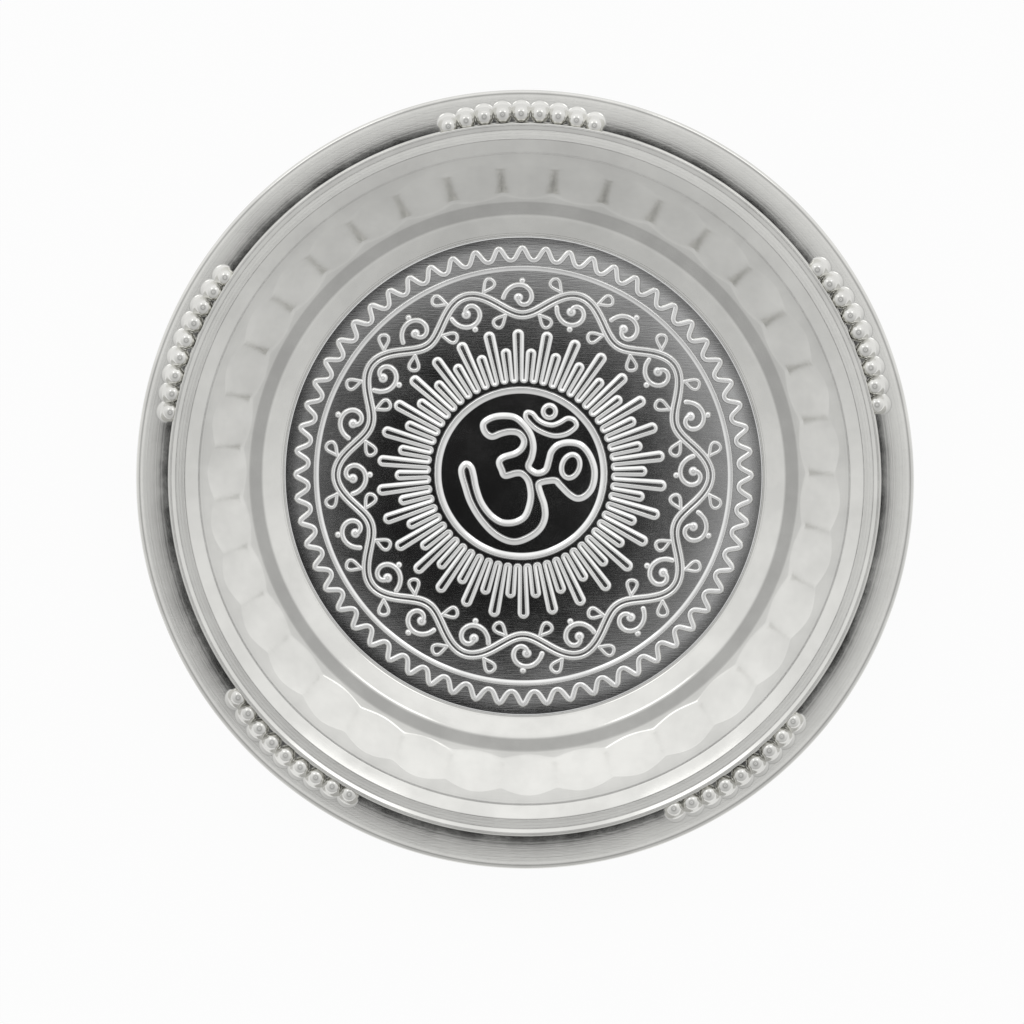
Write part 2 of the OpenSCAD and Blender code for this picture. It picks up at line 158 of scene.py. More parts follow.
# The sign's small parts and the outlines of its two strokes, in radii of the emblem's ring
EYE_AT, EYE_RADII, EYE_TURN = (0.6, 0.085), (0.105, 0.145), math.radians(-20)
DOT_AT, DOT_R = (0.345, 0.742), 0.075
SIGN_OUTLINE = np.array([
    -0.45, 0.54, -0.41, 0.47, -0.34, 0.44, -0.23, 0.48, -0.12, 0.5, -0.02, 0.48, 0.04, 0.4,
    0.02, 0.31, -0.06, 0.24, -0.21, 0.19, -0.26, 0.13, -0.23, 0.04, -0.19, -0.03, -0.06, -0.0,
    0.02, -0.01, 0.09, -0.09, 0.12, -0.23, 0.11, -0.36, 0.06, -0.5, -0.02, -0.57, -0.14, -0.6,
    -0.26, -0.58, -0.38, -0.49, -0.48, -0.35, -0.54, -0.18, -0.57, -0.03, -0.6, 0.07, -0.66, 0.11,
    -0.71, 0.06, -0.71, -0.02, -0.67, -0.16, -0.61, -0.34, -0.5, -0.53, -0.35, -0.7, -0.19, -0.8,
    -0.04, -0.82, 0.13, -0.75, 0.24, -0.65, 0.29, -0.52, 0.28, -0.38, 0.24, -0.26, 0.21, -0.15,
    0.24, -0.11, 0.33, -0.09, 0.42, -0.09, 0.48, -0.15, 0.58, -0.25, 0.67, -0.3, 0.76, -0.28,
    0.84, -0.2, 0.88, -0.08, 0.88, 0.07, 0.82, 0.23, 0.72, 0.34, 0.58, 0.37, 0.45, 0.34, 0.37, 0.26,
    0.34, 0.16, 0.3, 0.04, 0.21, -0.0, 0.13, 0.03, 0.09, 0.09, 0.13, 0.19, 0.15, 0.32, 0.12, 0.46,
    0.04, 0.58, -0.07, 0.67, -0.21, 0.69, -0.34, 0.67, -0.44, 0.61,
]).reshape(-1, 2)
CRESCENT_OUTLINE = np.array([
    0.06, 0.67, 0.11, 0.6, 0.19, 0.53, 0.29, 0.48, 0.4, 0.45, 0.51, 0.46, 0.6, 0.5, 0.67, 0.57,
    0.64, 0.64, 0.56, 0.66, 0.47, 0.61, 0.38, 0.58, 0.28, 0.6, 0.2, 0.65, 0.14, 0.72, 0.07, 0.73,
]).reshape(-1, 2)


# Mesh making


def polar(radius, angle):
    """Points at a radius and an angle: the radius times the angle's cosine, and times its sine."""
    return np.stack(np.broadcast_arrays(radius * np.cos(angle), radius * np.sin(angle)), axis=-1)


def unit(vectors):
    """Vectors over their own lengths."""
    return vectors / np.linalg.norm(vectors, axis=-1, keepdims=True)


def left_of(vectors):
    """Flat vectors turned a quarter turn to the left: minus y, then x."""
    return np.stack([-vectors[..., 1], vectors[..., 0]], axis=-1)


def closed_angles(count):
    """Angles of evenly spaced columns, once round."""
    return np.arange(count) * (2 * math.pi / count)


def grid_quads(rows, columns, wrap_columns=False, wrap_rows=False):
    """Corner numbers of the quads of a grid. Point (row, column) is row times columns plus column;
    a wrapped side joins its end to its start.
    """
    row = np.arange(rows if wrap_rows else rows - 1)[:, None]
    column = np.arange(columns if wrap_columns else columns - 1)[None, :]
    next_row = (row + 1) % rows
    next_column = (column + 1) % columns
    corners = [
        row * columns + column,
        next_row * columns + column,
        next_row * columns + next_column,
        row * columns + next_column,
    ]
    return np.stack(np.broadcast_arrays(*corners), axis=-1).reshape(-1, 4)


def fan(middle, first, columns, reverse=False):
    """Triangles that close a ring of columns points to one middle point, as corner numbers."""
    here = np.arange(columns)
    there = (here + 1) % columns
    pair = (there, here) if reverse else (here, there)
    return np.stack([np.full(columns, middle), first + pair[0], first + pair[1]], axis=-1)


def make_piece(name, points, faces, material, nodes, shades=None):
    """A mesh from arrays. points is any grid of millimetre positions, faces a list of corner arrays
    with three or four columns, and shades one number a point: the painted shade that the materials
    mix in as a near-black tone.
    """
    look = bpy.context.scene.dish_look
    spread = look.outside_width / CAD_WIDTH
    rise = look.height / CAD_HEIGHT
    flat = np.asarray(points, float).reshape(-1, 3) * (np.array([spread, spread, rise]) * MM)
    sizes = np.concatenate([np.full(len(block), block.shape[1]) for block in faces])
    corners = np.concatenate([block.ravel() for block in faces])
    mesh = bpy.data.meshes.new(name)
    mesh.vertices.add(len(flat))
    mesh.vertices.foreach_set("co", flat.astype(np.float32).ravel())
    mesh.loops.add(len(corners))
    mesh.loops.foreach_set("vertex_index", corners.astype(np.int32))
    mesh.polygons.add(len(sizes))
    mesh.polygons.foreach_set("loop_start", (np.cumsum(sizes) - sizes).astype(np.int32))
    if shades is not None:
        painted_shade = mesh.attributes.new("painted_shade", "FLOAT", "POINT")
        painted_shade.data.foreach_set("value", np.asarray(shades, np.float32).ravel())
    mesh.update(calc_edges=True)
    mesh.validate()
    mesh.shade_smooth()
    mesh.materials.append(material)
    piece = bpy.data.objects.new(name, mesh)
    bpy.context.scene.collection.objects.link(piece)
    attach(piece, "root")
    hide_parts(*nodes)


def round_corner(before, corner, after, radius, steps):
    """Arc that rounds a corner of a section, for every column at once.

    The arc's middle stands on the line that halves the corner, at the radius over the sine of half
    the corner's angle. The arc starts and ends on the two sides, at the radius over the tangent of
    that half angle from the corner.
    """
    u = unit(before - corner)
    v = unit(after - corner)
    half = np.arccos(np.clip((u * v).sum(-1), -1, 1))[..., None] / 2
    middle = corner + unit(u + v) * radius / np.sin(half)
    start = corner + u * radius / np.tan(half) - middle
    end = corner + v * radius / np.tan(half) - middle
    first = np.arctan2(start[..., 1], start[..., 0])
    sweep = np.arctan2(
        start[..., 0] * end[..., 1] - start[..., 1] * end[..., 0], (start * end).sum(-1)
    )
    share = np.linspace(0, 1, steps + 1)[:, None]
    return middle + radius * polar(1.0, first + sweep * share)


def shifted(corners, distance):
    """Corners of a section moved sideways to the left by a distance, so that each side stays
    parallel to itself: along the halving line, by the distance over its cosine to a side's normal.
    """
    along = unit(np.diff(corners, axis=0))
    before = np.concatenate([along[:1], along])
    after = np.concatenate([along, along[-1:]])
    normal = unit(left_of(before + after))
    reach = distance / (normal * left_of(before)).sum(-1, keepdims=True)
    return corners + normal * reach


def all_round(points, size):
    """The same section points for every one of size columns."""
    return np.repeat(np.asarray(points, float)[:, None, :], size, axis=1)


def turned(section, angles, start=None, end=None):
    """Points and faces of a section turned round the axis, with each column at its own angle.

    Where a height is given for the start or the end, the ring there is closed to a middle point.
    """
    rows, columns = section.shape[:2]
    flat = polar(section[..., 0], angles[None, :])
    points = [np.concatenate([flat, section[..., 1:2]], axis=-1).reshape(-1, 3)]
    faces = [grid_quads(rows, columns, wrap_columns=True)]
    for height, first, reverse in ((start, 0, False), (end, (rows - 1) * columns, True)):
        if height is not None:
            faces.append(fan(rows * columns + len(points) - 1, first, columns, reverse))
            points.append([[0, 0, height]])
    return np.concatenate(points), faces


# Section of the dish


def flute_wave(angles, look):
    """One at a flute's middle and nothing between two flutes: half of one more than the cosine, to
    a power that makes the flutes broad. A sine and a cosine of the angle space them unevenly.
    """
    turn = angles - math.pi / 2 + FLUTE_TURN
    turn -= FLUTE_DRIFT_Y * np.sin(angles) + FLUTE_DRIFT_X * np.cos(angles)
    return ((1 + np.cos(turn * look.flute_count)) / 2) ** FLUTE_BREADTH


def well_corners(angles, look):
    """Corners of the section from the axis to the collar, for every column. The wall's foot lies
    further in, and its top further out along the shoulder, where a flute is.
    """
    wave = flute_wave(angles, look)
    foot = FLUTE_FOOT_R + 1 - wave
    top = WALL_R + 2 * look.flute_depth / MM * wave
    slope = (SHOULDER_Z - WALL_Z) / (SHOULDER_R - WALL_R)
    pairs = [
        (0, SHEET_T),
        (FLOOR_R, SHEET_T),
        (BEVEL_R, BEVEL_Z),
        (LEDGE_R, LEDGE_Z),
        (foot, LEDGE_Z + FLUTE_FOOT_SLOPE * (foot - LEDGE_R)),
        (top, WALL_Z + slope * (top - WALL_R)),
        (SHOULDER_R, SHOULDER_Z),
        (COLLAR_R, COLLAR_Z),
    ]
    return np.stack([np.stack(np.broadcast_arrays(*pair, wave)[:2], axis=-1) for pair in pairs])


def seam_ring(angles):
    """Ring on the shoulder where the well's mesh ends and the rim's starts."""
    radius = WALL_R + (SHOULDER_R - WALL_R) * SEAM_SHARE
    height = WALL_Z + (SHOULDER_Z - WALL_Z) * SEAM_SHARE
    return all_round([[radius, height]], len(angles))


def floor_rings(corners):
    """Three rings on the level floor, at shares of the way from the axis to the floor's edge."""
    return corners[0] + (corners[1] - corners[0]) * np.array([0.02, 0.5, 0.97])[:, None, None]


def well_section(angles, look):
    """Rings of the well's upper side, from the axis out to the seam on the shoulder."""
    q = well_corners(angles, look)
    seam = seam_ring(angles)
    foot = round_corner(q[3], q[4], q[5], FOOT_ROUND, 9)
    top = round_corner(q[4], q[5], seam[0], CREASE_ROUND, 5)
    rise = np.linspace(0, 1, 14)[1:-1, None, None]
    rings = [
        floor_rings(q),
        round_corner(q[0], q[1], q[2], FLOOR_ROUND, 8),
        round_corner(q[1], q[2], q[3], BEVEL_ROUND, 12),
        round_corner(q[2], q[3], q[4], LEDGE_ROUND, 5),
        foot,
        foot[-1:] + (top[:1] - foot[-1:]) * rise,
        top,
        seam,
    ]
    return np.concatenate(rings)


def brim_height(radius):
    """Height of the brim at a radius: from the step's foot it rises by one less the falling power
    of e with the distance, and by a gentle parabola, so it leans inwards at the foot and is almost
    level where it meets the rolled edge.
    """
    run = radius - BRIM_R
    return BRIM_Z + BRIM_FLARE * (1 - np.exp(-run)) + BRIM_RISE * (run - run**2 / BRIM_SPAN)


def brim_section(steps):
    """Points along the brim, from beyond the step's foot to the top of the rolled edge."""
    radius = BRIM_R + (CURL_MID_R - BRIM_R) * np.linspace(0.05, 1, steps)
    return np.stack([radius, brim_height(radius)], axis=-1)


def curl_section(steps):
    """Rolled edge, from its top, outwards and down, and round to where it meets the brim's
    underside: a circle made a little square by a power under one of its sine and cosine.
    """
    last = -1.5 * math.pi + math.acos((1 - SHEET_T / CURL_R) ** (1 / CURL_POWER))
    flat = polar(1.0, np.linspace(math.pi / 2, last, steps))
    middle = [CURL_MID_R, brim_height(CURL_MID_R) - CURL_R]
    return CURL_R * np.sign(flat) * np.abs(flat) ** CURL_POWER + middle


def collar_corners(size):
    """Corners from the collar over the crest's flat, its raised lip and the step to the brim."""
    pairs = [
        (SHOULDER_R, SHOULDER_Z),
        (COLLAR_R, COLLAR_Z),
        (LIP_FOOT_R, LIP_FOOT_Z),
        (LIP_R, CREST_Z),
        (STEP_R, STEP_Z),
        (BRIM_R, BRIM_Z),
    ]
    return all_round(pairs, size)


def collar_section(angles):
    """Rings of the collar, with a fine notch under it, and the crest, out to the step's edge."""
    shoulder, collar, lip_foot, lip, step, foot = collar_corners(len(angles))
    slope = (COLLAR_Z - SHOULDER_Z) / (COLLAR_R - SHOULDER_R)
    notch = np.array([[-0.22, -0.08], [-0.1, -0.16], [0.12, 0.12 * slope], [0.3, 0.3 * slope]])
    rings = [
        seam_ring(angles),
        all_round(notch + [SHOULDER_R, SHOULDER_Z], len(angles)),
        round_corner(shoulder, collar, lip_foot, CREST_ROUND, 5),
        round_corner(collar, lip_foot, lip, CREST_ROUND, 5),
        round_corner(lip_foot, lip, step, CREST_ROUND, 5),
        round_corner(lip, step, foot, STEP_ROUND, 6),
    ]
    return np.concatenate(rings)


def edge_section(angles):
    """Rings of the step's riser, the brim and the rolled edge, from the crest's edge."""
    size = len(angles)
    lip, step, foot = collar_corners(size)[3:]
    brim = all_round(brim_section(18), size)
    rings = [
        round_corner(lip, step, foot, STEP_ROUND, 6)[-1:],
        round_corner(step, foot, brim[0], BRIM_ROUND, 5),
        brim,
        all_round(curl_section(38)[1:], size),
    ]
    return np.concatenate(rings)


def underside_section(angles, look):
    """Rings of the sheet's lower side, from the rolled edge back to the axis: the section's corners
    moved down by the sheet's thickness and rounded by their own radii.
    """
    size = len(angles)
    brim = brim_section(14)
    q = [well_corners(angles, look), collar_corners(size)[2:], all_round(brim[1:2], size)]
    q = shifted(np.concatenate(q), -SHEET_T)
    low_brim = shifted(brim, -SHEET_T)
    end = curl_section(2)[-1:]
    low_brim = np.concatenate([low_brim[low_brim[:, 0] < end[0, 0]], end])
    rings = [floor_rings(q)]
    for k, radius in enumerate(UNDER_ROUNDS, start=1):
        rings.append(round_corner(q[k - 1], q[k], q[k + 1], radius, 4))
    rings.append(all_round(low_brim[2:], size))
    return np.concatenate(rings)[::-1]


# Floor disc


def disc_section():
    """Points down the floor disc's edge, from near its middle to its underside.

    The top is level, and beyond the flat part it rises with the square of the share of the way to
    the edge. A quarter circle rounds the edge; its points go out with the sine of an angle and down
    with one less its cosine.
    """
    corner = np.linspace(0, math.pi / 2, 5)[1:]
    last = DISC_R - DISC_EDGE_ROUND
    plain = np.concatenate([np.linspace(1, DISC_FLAT_R, 20), np.linspace(50.4, last, 12)])
    round_edge = last + DISC_EDGE_ROUND * np.sin(corner)
    radius = np.concatenate([plain, round_edge, [DISC_R, DISC_R - 0.2]])
    beyond = np.clip((radius - DISC_FLAT_R) / (DISC_R - DISC_FLAT_R), 0, None)
    height = DISC_Z + DISC_EDGE_RISE * beyond**2
    height[len(plain) : -2] -= DISC_EDGE_ROUND * (1 - np.cos(corner))
    height[-2:] = [SHEET_T + 0.05, SHEET_T + DISC_GAP]
    return np.stack([radius, height], axis=-1)


def ridge_height(offset, lean):
    """How far offsets across a ridge are on the way from its peak to its foot, and the power that
    shapes each side.

    Offsets are in half widths from the middle, and the peak stands at the lean. The ridge's height
    is one less the way to the power. The power is smaller on the wider side, which is then almost a
    plane.
    """
    wide = offset * np.sign(lean) < abs(lean)
    way = np.abs(offset - lean) / np.where(offset > lean, 1 - lean, 1 + lean)
    return way, PEAK_POWER + abs(lean) * np.where(wide, -1.8, 0.6)


def foot_shade(way):
    """Painted shade at a shape's foot: none up to three quarters of the way out, then evenly up
    to one.
    """
    return np.clip((way - 0.75) / 0.25, 0, 1)


def path_sides(path, closed):
    """Normals to the left of a flat path, from the points on either side of each point."""
    if closed:
        along = np.roll(path, -1, axis=0) - np.roll(path, 1, axis=0)
    else:
        along = np.gradient(path, axis=0)
    return left_of(unit(along))


def ridge(path, width, height, lean=0.0, closed=True, base=None, across=11):
    """Ridge carried along a flat path.

    Across the path a point stands off by its share of the half width, and rises by the ridge's
    section there; a positive lean moves the peak to the left of the path. An open path gets a
    rounded end: rows beyond the end narrow with the cosine of an angle while they move on with its
    sine, and the share of the way to the foot is then the distance from the end.
    """
    half = width / 2
    even = np.sin(np.linspace(-1, 1, across) * math.pi / 2)
    share = even + lean * (1 - even**2)
    sides = path_sides(path, closed)
    narrow = np.ones(len(path))
    beyond = np.zeros(len(path))
    if not closed:
        caps = np.radians([90, 70, 50, 25])
        ends = []
        for end, side, sign in ((path[0], sides[0], 1), (path[-1], sides[-1], -1)):
            ends.append(end + sign * left_of(side)[None] * half * np.sin(caps)[:, None])
        path = np.concatenate([ends[0], path, ends[1][::-1]])
        sides = np.pad(sides, ((len(caps), len(caps)), (0, 0)), mode="edge")
        narrow = np.concatenate([np.cos(caps), narrow, np.cos(caps)[::-1]])
        beyond = np.concatenate([np.sin(caps), beyond, np.sin(caps)[::-1]])
    offset = share[None, :] * narrow[:, None]
    place = path[:, None, :] + sides[:, None, :] * (offset * half)[..., None]
    way, power = ridge_height(offset, lean)
    rise = height * (1 - np.clip(np.hypot(way, beyond[:, None]), 0, 1) ** power)
    floor = DISC_Z if base is None else base(place)
    points = np.concatenate([place, (floor - SINK + rise)[..., None]], axis=-1)
    # Painted shade along the ridge's foot, on both sides
    painted_shade = foot_shade(np.hypot(offset, beyond[:, None]))
    return points.reshape(-1, 3), grid_quads(len(path), across, wrap_rows=closed), painted_shade.ravel()


def dome(centre, radius, height):
    """Round bud: its height is one less the square of the share of its radius."""
    rings, columns = 6, 20
    share = np.linspace(0, 1, rings + 1)[1:]
    flat = centre + polar(radius * share[:, None], closed_angles(columns)[None, :])
    rise = np.repeat(1 - share[:, None] ** 2, columns, axis=1) * height
    points = np.concatenate([flat, (DISC_Z - SINK + rise)[..., None]], axis=-1).reshape(-1, 3)
    points = np.concatenate([points, [[*centre, DISC_Z - SINK + height]]])
    quads = grid_quads(rings, columns, wrap_columns=True)
    # Painted shade round the bud's foot
    painted_shade = np.append(np.repeat(foot_shade(share), columns), 0)
    return points, [quads, fan(rings * columns, 0, columns)], painted_shade


def smooth_curve(points, steps):
    """Closed curve through points: between two of them it is the cubic whose slopes at both are
    half the way between their neighbours.
    """
    a, b = np.roll(points, 1, axis=0), points
    c, d = np.roll(points, -1, axis=0), np.roll(points, -2, axis=0)
    s = (np.arange(steps) / steps)[None, :, None]
    a, b, c, d = (v[:, None, :] for v in (a, b, c, d))
    curve = 2 * b + (c - a) * s
    curve += (2 * a - 5 * b + 4 * c - d) * s**2 + (3 * b - a - 3 * c + d) * s**3
    return (curve / 2).reshape(-1, 2)


def waver(count, seed, size):
    """Slow unevenness along a closed path: a sum of a few sines with seeded phases."""
    source = np.random.default_rng(seed)
    angle = closed_angles(count)
    total = np.zeros(count)
    for turns in (3, 5, 8, 13, 21):
        total += np.sin(turns * angle + source.uniform(0, 2 * math.pi)) / turns**0.5
    return total * size


def joined(parts):
    """Several shapes as one: their points end to end, with each shape's corner numbers moved on by
    the points before it.
    """
    points, faces, shades, first = [], [], [], 0
    for place, blocks, painted_shade in parts:
        blocks = blocks if isinstance(blocks, list) else [blocks]
        points.append(place)
        shades.append(painted_shade)
        faces += [block + first for block in blocks]
        first += len(place)
    return np.concatenate(points), faces, np.concatenate(shades)


def spun(points, angle):
    """Flat points turned about the axis, by one angle or by one for each."""
    x, y = points[..., 0], points[..., 1]
    cos, sin = np.cos(angle), np.sin(angle)
    return np.stack([x * cos - y * sin, x * sin + y * cos], axis=-1)


# Beads


def bead_profile(around):
    """Reach and level of a bead's rings in bead radii, their share of the way down to the brim, and
    their painted shade, at every angle round the bead.

    The side to the dish's middle is a ball down to its widest part, by the sine and cosine of the
    tilt, and then a foot that widens with the square of the way down. The outer side is a ball down
    to the skirt's slope, and then a skirt that runs out evenly and falls with a power of the way
    that is left. A power of the angle's cosine mixes the two.
    """
    tilt = np.radians(np.linspace(0, 90, 13))[1:]
    down = np.linspace(0, 1, 5)[1:]
    foot = np.concatenate([np.zeros(len(tilt)), down])
    first = np.linspace(0, SKIRT_SLOPE, 6)[1:]
    run = np.linspace(0, 1, 12)[1:]
    start, drop = math.sin(SKIRT_SLOPE), math.cos(SKIRT_SLOPE)
    inner = [
        np.concatenate([np.sin(tilt), 1 + 0.06 * down**2]),
        np.concatenate([np.cos(tilt), 0 * down]),
        foot,
    ]
    outer = [
        np.concatenate([np.sin(first), start + (SKIRT_REACH - start) * run]),
        np.concatenate([np.cos(first), drop * (1 - run) ** 1.6]),
        np.concatenate([0 * first, run**2]),
    ]
    outward = np.clip(np.cos(around), 0, 1) ** 0.8
    reach, level, sunk = (a[:, None] + (b - a)[:, None] * outward for a, b in zip(inner, outer))
    # Painted shade: at the foot on the side to the dish's middle, none on the outer side
    return reach, level, sunk, foot[:, None] * (1 - outward)


def row_arc(places, angle):
    """Points along a row's own arc, which is tighter than the brim, turned to the row's angle."""
    return spun(polar(ROW_ARC_R, places) + [ROW_MID_R - ROW_ARC_R, 0], angle)


def brim_level(places):
    """Height of the brim at flat places: that at their distance from the axis."""
    return brim_height(np.linalg.norm(places, axis=-1))


def bead_row(number, angle, look):
    """A row of slightly uneven beads with the low strip that joins them."""
    count = look.bead_count
    places = (np.arange(count) - (count - 1) / 2) * 2 * math.asin(BEAD_PITCH / 2 / ROW_ARC_R)
    centres = row_arc(places, angle)
    unevenness = np.random.default_rng(number).uniform(-0.015, 0.01, count)
    size = (look.bead_size / MM / 2 * (1 + unevenness))[:, None, None]
    around = closed_angles(BEAD_COLUMNS)
    reach, level, sunk, shade_share = bead_profile(around)
    way = np.arctan2(centres[:, 1], centres[:, 0])[:, None, None] + around
    place = centres[:, None, None, :] + polar(size * reach, way)
    ground = brim_level(place) - BEAD_SINK
    rise = (BEAD_Z + size * level) * (1 - sunk) + ground * sunk
    points = np.concatenate([place, np.maximum(rise, ground)[..., None]], axis=-1)
    tops = np.concatenate([centres, BEAD_Z + size[:, 0]], axis=-1)
    points = np.concatenate([points.reshape(count, -1, 3), tops[:, None]], axis=1)
    rows = len(reach)
    first = (np.arange(count) * (rows * BEAD_COLUMNS + 1))[:, None, None]
    quads = grid_quads(rows, BEAD_COLUMNS, wrap_columns=True) + first
    fans = fan(rows * BEAD_COLUMNS, 0, BEAD_COLUMNS) + first
    # Painted shade at the beads' feet, on the side towards the step
    painted_shade = np.tile(np.append(shade_share.ravel(), 0), count)
    beads = (points.reshape(-1, 3), [quads.reshape(-1, 4), fans.reshape(-1, 3)], painted_shade)
    path = row_arc(np.linspace(places[0], places[-1], 60), angle)
    return joined([beads, ridge(path, STRIP_W, STRIP_H, closed=False, base=brim_level)])


# Materials


class Nodes:
    """Adds nodes and links to a material or world, a line at a time."""

    def __init__(self, tree):
        self.tree = tree
        tree.nodes.clear()

    def add(self, kind, inputs=None, **settings):
        """A node with its settings. Its inputs are given values or other nodes' sockets."""
        node = self.tree.nodes.new(kind)
        for key, value in settings.items():
            setattr(node, key, value)
        for key, value in (inputs or {}).items():
            if isinstance(value, bpy.types.NodeSocket):
                self.tree.links.new(value, node.inputs[key])
            else:
                node.inputs[key].default_value = value
        return node

    def maths(self, operation, *values):
        """A Math node's result."""
        return self.add("ShaderNodeMath", dict(enumerate(values)), operation=operation).outputs[0]

    def ramp(self, value, low, high, to_low, to_high, **settings):
        """A value mapped from one range to another, held at its ends."""
        inputs = dict(enumerate((value, low, high, to_low, to_high)))
        return self.add("ShaderNodeMapRange", inputs, **settings).outputs["Result"]

    def noise(self, place, scale, detail, roughness):
        """Noise between 0 and 1 at a place."""
        inputs = {"Vector": place, "Scale": scale, "Detail": detail, "Roughness": roughness}
        return self.add("ShaderNodeTexNoise", inputs).outputs["Fac"]

    def mix(self, share, one, other):
        """A colour between two."""
        inputs = {0: share, 6: one, 7: other}
        return self.add("ShaderNodeMix", inputs, data_type="RGBA").outputs[2]

    def bump(self, strength, distance, height, below=None):
        """A Bump node's normal, laid over an earlier one where there is one."""
        inputs = {"Strength": strength, "Distance": distance, "Height": height}
        if below is not None:
            inputs["Normal"] = below
        return self.add("ShaderNodeBump", inputs).outputs["Normal"]


def steel(name, colour, roughness, turned=0.0, waviness=0.0, scratches=0.0, painted_shade=0.0):
    """Polished steel: slight blotches in colour and gloss, fine scratches, lines turned round the
    axis, and painted shade: a near-black tone mixed in where the mesh marks shade, at the feet of
    embossed lines and beads.
    """
    material = bpy.data.materials.new(name)
    material.use_nodes = True
    nodes = Nodes(material.node_tree)
    place = nodes.add("ShaderNodeTexCoord").outputs["Object"]
    blotch = nodes.noise(place, 90.0, 3.0, 0.6)
    fine = nodes.noise(place, 900.0, 2.0, 0.6)
    slow_gloss = nodes.ramp(blotch, 0.3, 0.7, -0.25, 0.3)
    fine_gloss = nodes.ramp(fine, 0.3, 0.7, -0.12, 0.12)
    gloss = nodes.maths("ADD", nodes.maths("ADD", slow_gloss, fine_gloss), 1.0)
    rough = nodes.maths("MULTIPLY", gloss, roughness)
    dark = tuple(channel * 0.9 for channel in colour)
    tone = nodes.mix(nodes.ramp(blotch, 0.35, 0.65, 0.0, 1.0), (*dark, 1), (*colour, 1))
    # Painted shade: the tone goes towards near black by the mesh's painted shade value
    if painted_shade:
        shade_share = nodes.add("ShaderNodeAttribute", attribute_name="painted_shade").outputs["Fac"]
        tone = nodes.mix(nodes.maths("MULTIPLY", shade_share, painted_shade), tone, (0.05, 0.05, 0.052, 1))
    normal = None
    if turned:
        x, y, z = nodes.add("ShaderNodeSeparateXYZ", {0: place}).outputs
        square = nodes.maths("ADD", nodes.maths("POWER", x, 2.0), nodes.maths("POWER", y, 2.0))
        rings = nodes.add("ShaderNodeCombineXYZ", {0: nodes.maths("SQRT", square), 2: z})
        lines = nodes.noise(rings.outputs[0], 2600.0, 3.0, 0.7)
        rough = nodes.maths("MULTIPLY", rough, nodes.ramp(lines, 0.25, 0.75, 0.7, 1.35))
        normal = nodes.bump(turned, 0.00008, lines)
    if scratches:
        inputs = {"Vector": place, "Rotation": (0, 0, 0.6), "Scale": (1.0, 14.0, 1.0)}
        stretched = nodes.add("ShaderNodeMapping", inputs).outputs[0]
        normal = nodes.bump(scratches, 0.00006, nodes.noise(stretched, 260.0, 4.0, 0.75), normal)
    if waviness:
        normal = nodes.bump(waviness, 0.0006, nodes.noise(place, 70.0, 1.0, 0.4), normal)
    inputs = {"Base Color": tone, "Roughness": rough, "Metallic": 1.0}
    if normal is not None:
        inputs["Normal"] = normal
    surface = nodes.add("ShaderNodeBsdfPrincipled", inputs)
    nodes.add("ShaderNodeOutputMaterial", {"Surface": surface.outputs[0]})
    return material


def make_relief(name, shapes):
    """A piece of the embossed pattern, in a steel that is made at its first use. The steel is
    brighter than the disc's, as a painted highlight, and takes painted shade at the feet.
    """
    look = bpy.context.scene.dish_look
    colour, rough = look.relief_highlight_colour, look.polish * 0.6
    # Painted highlight: the embossed lines get a brighter steel than the disc they are pressed in
    material = bpy.data.materials.get("relief_steel") or steel(
        "relief_steel", colour, rough, waviness=0.02, scratches=0.05, painted_shade=0.85
    )
    points, faces, painted_shade = joined(shapes)
    make_piece(name, points, faces, material, ["floor_disc"], painted_shade)


# Settings


class DishLook(bpy.types.PropertyGroup):
    """Sizes and finishes of the dish."""

    outside_width: FloatProperty(
        name="Outside width", description="Width of the dish over its rolled edge",
        default=CAD_WIDTH, min=0.1, max=0.5, unit="LENGTH",
    )
    height: FloatProperty(
        name="Height", description="Height from the underside to the crest",
        default=CAD_HEIGHT, min=0.01, max=0.08, unit="LENGTH",
    )
    flute_count: IntProperty(
        name="Flutes", description="Number of flutes round the wall", default=35, min=20, max=60
    )
    flute_depth: FloatProperty(
        name="Flute depth", description="Depth of a flute at its upper end",
        default=0.00065, min=0.0002, max=0.0009, unit="LENGTH",
    )
    relief_height: FloatProperty(
        name="Relief height", description="Height of the embossed lines on the floor disc",
        default=0.00046, min=0.0002, max=0.001, unit="LENGTH",
    )
    wave_count: IntProperty(
        name="Border waves", description="Number of waves in the disc's border line",
        default=60, min=30, max=90,
    )
    scroll_count: IntProperty(
        name="Scrolls", description="Number of scrolls in the vine band",
        default=20, min=10, max=30,
    )
    ray_count: IntProperty(
        name="Rays", description="Number of rays round the sign", default=60, min=30, max=80
    )
    bead_size: FloatProperty(
        name="Bead size", description="Diameter of a bead",
        default=0.00405, min=0.002, max=0.0042, unit="LENGTH",
    )
    bead_count: IntProperty(
        name="Beads in a row", description="Number of beads in each row", default=9, min=3, max=11
    )
    steel_colour: FloatVectorProperty(
        name="Steel", description="Colour of the pressed steel sheet",
        default=(0.774, 0.77, 0.742), min=0, max=1, subtype="COLOR",
    )
    disc_colour: FloatVectorProperty(
        name="Disc steel", description="Colour of the floor disc's steel",
        default=(0.72, 0.72, 0.715), min=0, max=1, subtype="COLOR",
    )
    # Painted highlight: the embossed lines are the disc's own steel, made brighter to stand in for
    # their highlights
    relief_highlight_colour: FloatVectorProperty(
        name="Relief steel", description="Colour of the polished embossed lines",
        default=(0.96, 0.96, 0.95), min=0, max=1, subtype="COLOR",
    )
    wire_colour: FloatVectorProperty(
        name="Wire steel", description="Colour of the wire inside the rolled edge",
        default=(0.5, 0.5, 0.5), min=0, max=1, subtype="COLOR",
    )
    polish: FloatProperty(
        name="Polish roughness", description="Roughness of the polished steel",
        default=0.11, min=0, max=1, subtype="FACTOR",
    )
    satin: FloatProperty(
        name="Satin roughness", description="Roughness of the brushed underside",
        default=0.42, min=0, max=1, subtype="FACTOR",
    )


